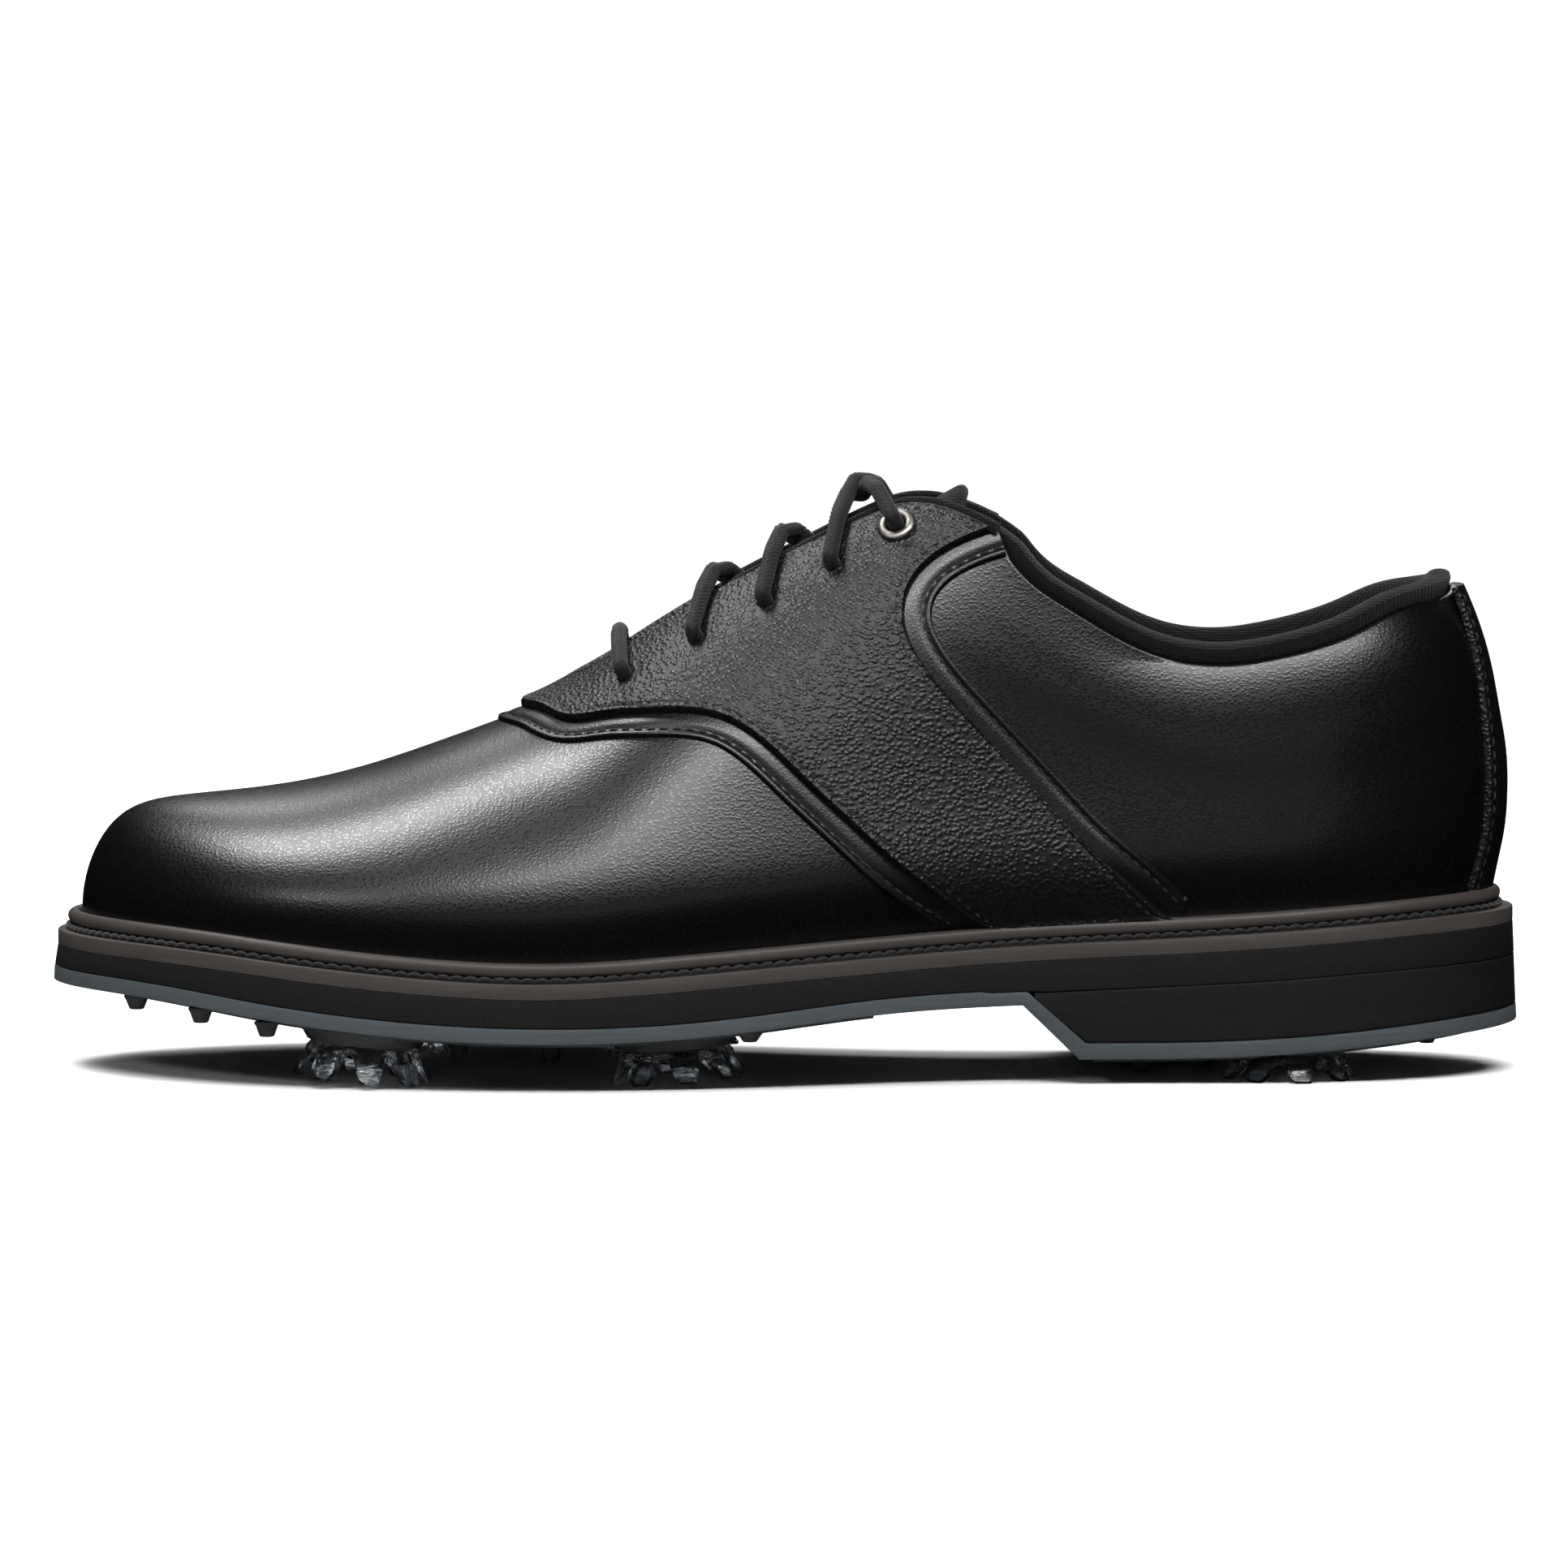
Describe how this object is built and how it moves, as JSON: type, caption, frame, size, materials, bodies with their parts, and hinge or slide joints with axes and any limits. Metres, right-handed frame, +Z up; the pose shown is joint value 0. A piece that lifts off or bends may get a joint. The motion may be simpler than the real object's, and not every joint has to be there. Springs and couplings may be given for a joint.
{
  "type": "golf shoe",
  "caption": "Lace-up golf saddle shoe with a storm welt, stacked heel, padded collar, flexing tongue and twist-in soft cleats.",
  "frame": {"origin": "centre of the bounding box's base, on the ground under the cleats' tips", "axes": "+X from toe to heel along the shoe, +Y to the medial side, +Z up"},
  "size_m": [0.3058, 0.1085, 0.1238],
  "materials": {
    "smooth_leather": "smooth black full-grain leather, semi-gloss",
    "tumbled_leather": "tumbled black leather with a pebbled grain",
    "textile": "black woven textile, matte",
    "welt_rubber": "warm grey rubber, satin",
    "midsole_foam": "black, fine horizontal buffing marks",
    "outsole_rubber": "blue-grey, buffed",
    "plate_plastic": "dark grey, matte",
    "clear_plastic": "clear polyurethane",
    "eyelet_metal": "brushed nickel",
    "board": "cellulose board",
    "steel": "tempered strip",
    "thread": "waxed black thread"
  },
  "bodies": {
    "shoe": {"outsole": "outsole_rubber", "fore_traction_plate": "plate_plastic", "heel_traction_plate": "plate_plastic", "midsole": "midsole_foam", "heel_block": "midsole_foam", "welt": "welt_rubber", "welt_stitching": "thread", "insole_board": "board", "shank": "steel", "forefoot_filler": "board", "sockliner": "textile", "toe_puff": "board", "heel_counter": "board", "vamp": "smooth_leather", "quarter_lateral": "smooth_leather", "quarter_medial": "smooth_leather", "saddle_lateral": "tumbled_leather", "saddle_medial": "tumbled_leather", "saddle_backing_lateral": "textile", "saddle_backing_medial": "textile", "front_trim_lateral": "smooth_leather", "front_trim_medial": "smooth_leather", "rear_trim_lateral": "smooth_leather", "rear_trim_medial": "smooth_leather", "backstay": "tumbled_leather", "collar": "textile", "vamp_lining": "textile", "quarter_lining": "textile", "lace": "textile", "aglet_lateral": "plate_plastic", "aglet_medial": "plate_plastic", "eyelet_lateral_1": "eyelet_metal", "eyelet_lateral_2": "eyelet_metal", "eyelet_lateral_3": "eyelet_metal", "eyelet_lateral_4": "eyelet_metal", "eyelet_lateral_5": "eyelet_metal", "eyelet_medial_1": "eyelet_metal", "eyelet_medial_2": "eyelet_metal", "eyelet_medial_3": "eyelet_metal", "eyelet_medial_4": "eyelet_metal", "eyelet_medial_5": "eyelet_metal", "receptacle_fore_lateral": "plate_plastic", "receptacle_fore_medial": "plate_plastic", "receptacle_ball_lateral": "plate_plastic", "receptacle_ball_medial": "plate_plastic", "receptacle_heel_lateral": "plate_plastic", "receptacle_heel_medial": "plate_plastic"},
    "tongue_flap": {"tongue": "tumbled_leather"},
    "cleat_fore_lateral": {"cleat_fore_lateral": "clear_plastic"},
    "cleat_fore_medial": {"cleat_fore_medial": "clear_plastic"},
    "cleat_ball_lateral": {"cleat_ball_lateral": "clear_plastic"},
    "cleat_ball_medial": {"cleat_ball_medial": "clear_plastic"},
    "cleat_heel_lateral": {"cleat_heel_lateral": "clear_plastic"},
    "cleat_heel_medial": {"cleat_heel_medial": "clear_plastic"}
  },
  "joints": [
    {"name": "cleat_fore_lateral_twist", "type": "hinge", "parent": "shoe", "child": "cleat_fore_lateral", "pos_m": [-0.086, -0.033, 0.01187], "axis": [-0.0872, 0, -0.9962], "range_deg": [0, 90]},
    {"name": "cleat_fore_medial_twist", "type": "hinge", "parent": "shoe", "child": "cleat_fore_medial", "pos_m": [-0.082, 0.033, 0.01152], "axis": [-0.0872, 0, -0.9962], "range_deg": [0, 90]},
    {"name": "cleat_ball_lateral_twist", "type": "hinge", "parent": "shoe", "child": "cleat_ball_lateral", "pos_m": [-0.0225, -0.031, 0.0109], "axis": [0.0698, 0, -0.9976], "range_deg": [0, 90]},
    {"name": "cleat_ball_medial_twist", "type": "hinge", "parent": "shoe", "child": "cleat_ball_medial", "pos_m": [-0.024, 0.027, 0.0108], "axis": [0.0698, 0, -0.9976], "range_deg": [0, 90]},
    {"name": "cleat_heel_lateral_twist", "type": "hinge", "parent": "shoe", "child": "cleat_heel_lateral", "pos_m": [0.1045, -0.02, 0.00625], "axis": [0, 0, -1], "range_deg": [0, 90]},
    {"name": "cleat_heel_medial_twist", "type": "hinge", "parent": "shoe", "child": "cleat_heel_medial", "pos_m": [0.1045, 0.02, 0.00625], "axis": [0, 0, -1], "range_deg": [0, 90]},
    {"name": "tongue_lift", "type": "hinge", "parent": "shoe", "child": "tongue_flap", "pos_m": [-0.05, 0, 0.069], "axis": [0, 1, 0], "range_deg": [0, 12], "stiffness_Nm_per_rad": 0.25, "springref_deg": -8.59}
  ]
}
